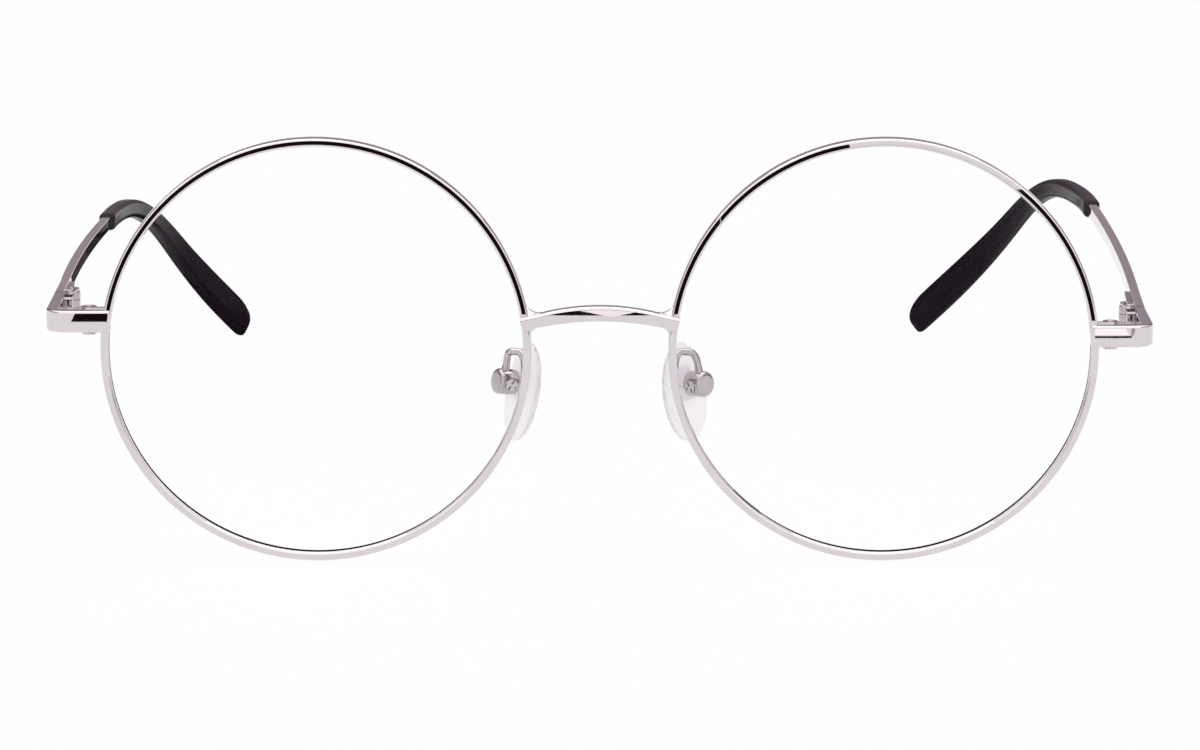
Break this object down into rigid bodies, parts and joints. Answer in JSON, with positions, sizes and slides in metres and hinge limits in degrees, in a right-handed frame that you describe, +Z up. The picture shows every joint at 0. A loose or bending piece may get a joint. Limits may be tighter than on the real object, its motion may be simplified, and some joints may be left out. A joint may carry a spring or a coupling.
{
  "type": "round eyeglasses",
  "caption": "Round full-rim metal eyeglasses with clear lenses, an arched bridge, clear nose pads on bent arms, screw hinges and flat temples with black plastic tips.",
  "frame": {"origin": "on the table, under the middle of the bounding box of the open glasses", "axes": "+X to the right of someone who faces the front of the glasses, +Y from the lenses back to the temple tips, +Z up. Left nodes are on -X, right nodes on +X."},
  "size_m": [0.1391, 0.141, 0.0528],
  "materials": {
    "silver_metal": "polished",
    "screw_steel": "satin",
    "clear_lens": "polished",
    "black_tip": "glossy",
    "clear_pad": "soft gloss",
    "pad_core": "glossy"
  },
  "bodies": {
    "front": {"bridge": "silver_metal", "rim_left": "silver_metal", "rim_right": "silver_metal", "lens_left": "clear_lens", "lens_right": "clear_lens", "closing_block_upper_left": "silver_metal", "closing_block_upper_right": "silver_metal", "closing_block_lower_left": "silver_metal", "closing_block_lower_right": "silver_metal", "closing_screw_left": "screw_steel", "closing_screw_right": "screw_steel", "end_piece_left": "silver_metal", "end_piece_right": "silver_metal", "front_hinge_left": "silver_metal", "front_hinge_right": "silver_metal", "hinge_screw_left": "screw_steel", "hinge_screw_right": "screw_steel", "pad_arm_left": "silver_metal", "pad_arm_right": "silver_metal", "pad_box_left": "silver_metal", "pad_box_right": "silver_metal", "pad_screw_left": "screw_steel", "pad_screw_right": "screw_steel"},
    "temple_body_left": {"temple_left": "silver_metal", "temple_hinge_left": "silver_metal", "temple_tip_left": "black_tip"},
    "temple_body_right": {"temple_right": "silver_metal", "temple_hinge_right": "silver_metal", "temple_tip_right": "black_tip"},
    "pad_body_left": {"nose_pad_left": "clear_pad", "pad_insert_left": "pad_core"},
    "pad_body_right": {"nose_pad_right": "clear_pad", "pad_insert_right": "pad_core"}
  },
  "joints": [
    {"name": "temple_fold_left", "type": "hinge", "parent": "front", "child": "temple_body_left", "pos_m": [-0.0657, -0.05704, 0.03015], "axis": [0, 0, -1], "range_deg": [0, 88]},
    {"name": "temple_fold_right", "type": "hinge", "parent": "front", "child": "temple_body_right", "pos_m": [0.0657, -0.05704, 0.0283], "axis": [0, 0, 1], "range_deg": [0, 84]},
    {"name": "pad_rock_left", "type": "hinge", "parent": "front", "child": "pad_body_left", "pos_m": [-0.01172, -0.06226, 0.02122], "axis": [0.4608, -0.8829, -0.0896], "range_deg": [-8, 8]},
    {"name": "pad_rock_right", "type": "hinge", "parent": "front", "child": "pad_body_right", "pos_m": [0.01229, -0.06285, 0.02105], "axis": [-0.6879, -0.7193, -0.0967], "range_deg": [-8, 8]}
  ]
}
